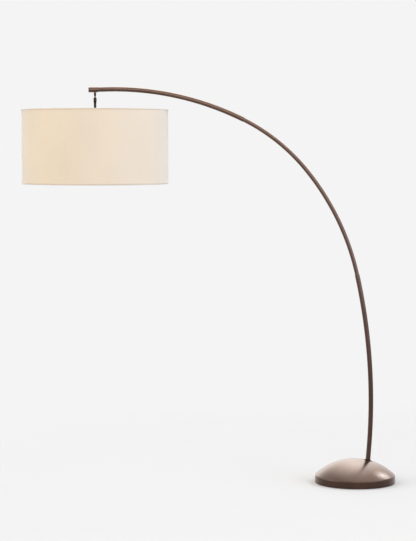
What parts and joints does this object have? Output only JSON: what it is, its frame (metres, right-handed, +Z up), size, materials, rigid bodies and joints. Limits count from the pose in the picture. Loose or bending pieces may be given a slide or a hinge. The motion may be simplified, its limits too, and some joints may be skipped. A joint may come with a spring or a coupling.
{
  "type": "floor lamp",
  "caption": "Arc floor lamp: weighted domed base, curved tubular arm in three sections and a large drum shade hanging from a ball swivel at its tip.",
  "frame": {"origin": "centre of the round base on the floor", "axes": "+Z up; the arm's foot is towards +X and the shade hangs towards -X; +Y is the lamp's back, where the cord inlet is"},
  "size_m": [1.8868, 0.7374, 2.0042],
  "materials": {
    "bronze_metal": "satin bronze-brown lacquer over spun and bent steel",
    "dark_bronze": "matt dark bronze lacquer over turned steel",
    "cast_iron": "black-painted rough casting",
    "base_felt": "pressed dark felt",
    "zinc_steel": "zinc-plated steel",
    "black_rubber": "matt moulded rubber",
    "lead_sheath": "satin insulated lead",
    "linen_fabric": "cream slubbed linen, laminated on the liner",
    "hem_tape": "folded linen tape, slightly darker than the shade",
    "shade_liner": "white translucent styrene sheet",
    "white_wire": "white-coated steel wire",
    "socket_metal": "bronzed thin steel",
    "card_sleeve": "insulating card",
    "phenolic": "black moulded phenolic",
    "contact_brass": "plain brass",
    "cap_metal": "plain aluminium",
    "frosted_glass": "inside-frosted glass"
  },
  "bodies": {
    "stand": {"base_cover": "bronze_metal", "base_weight": "cast_iron", "base_felt": "base_felt", "arm_foot_flange": "dark_bronze", "arm_foot_bush": "zinc_steel", "arm_foot_stud": "zinc_steel", "foot_washer": "zinc_steel", "foot_lock_washer": "zinc_steel", "foot_nut": "zinc_steel", "cord_grommet": "black_rubber", "arm_lower": "bronze_metal", "arm_middle": "bronze_metal", "arm_upper": "bronze_metal", "arm_joint_screws": "dark_bronze", "arm_tip_fitting": "bronze_metal", "arm_tip_cap": "bronze_metal", "arm_lead": "lead_sheath", "ball_stud": "dark_bronze"},
    "swivel_pins": {"swivel_pins": "zinc_steel"},
    "shade_hanger": {"swivel_housing": "dark_bronze", "stem_tube": "dark_bronze", "stem_nipple": "zinc_steel", "stem_lead": "lead_sheath", "shade_liner": "shade_liner", "shade_fabric": "linen_fabric", "shade_top_hem": "hem_tape", "shade_bottom_hem": "hem_tape", "shade_bottom_ring": "white_wire", "shade_spider": "white_wire", "spider_nut": "zinc_steel", "socket_cap": "socket_metal", "socket_shell": "socket_metal", "socket_sleeve": "card_sleeve", "socket_body": "phenolic", "socket_screw_shell": "contact_brass", "socket_contact": "contact_brass", "bulb_cap": "cap_metal", "bulb_glass": "frosted_glass"},
    "switch_knob": {"switch_knob": "phenolic"}
  },
  "joints": [
    {"name": "swing_front", "type": "hinge", "parent": "stand", "child": "swivel_pins", "pos_m": [-1.31518, 0, 1.94455], "axis": [1, 0, 0], "range_deg": [-15, 15]},
    {"name": "swing_side", "type": "hinge", "parent": "swivel_pins", "child": "shade_hanger", "pos_m": [-1.31518, 0, 1.94455], "axis": [0, 1, 0], "range_deg": [-7.5, 15]},
    {"name": "switch_turn", "type": "hinge", "parent": "shade_hanger", "child": "switch_knob", "pos_m": [-1.31518, -0.026, 1.80035], "axis": [0, -1, 0], "continuous": true}
  ]
}
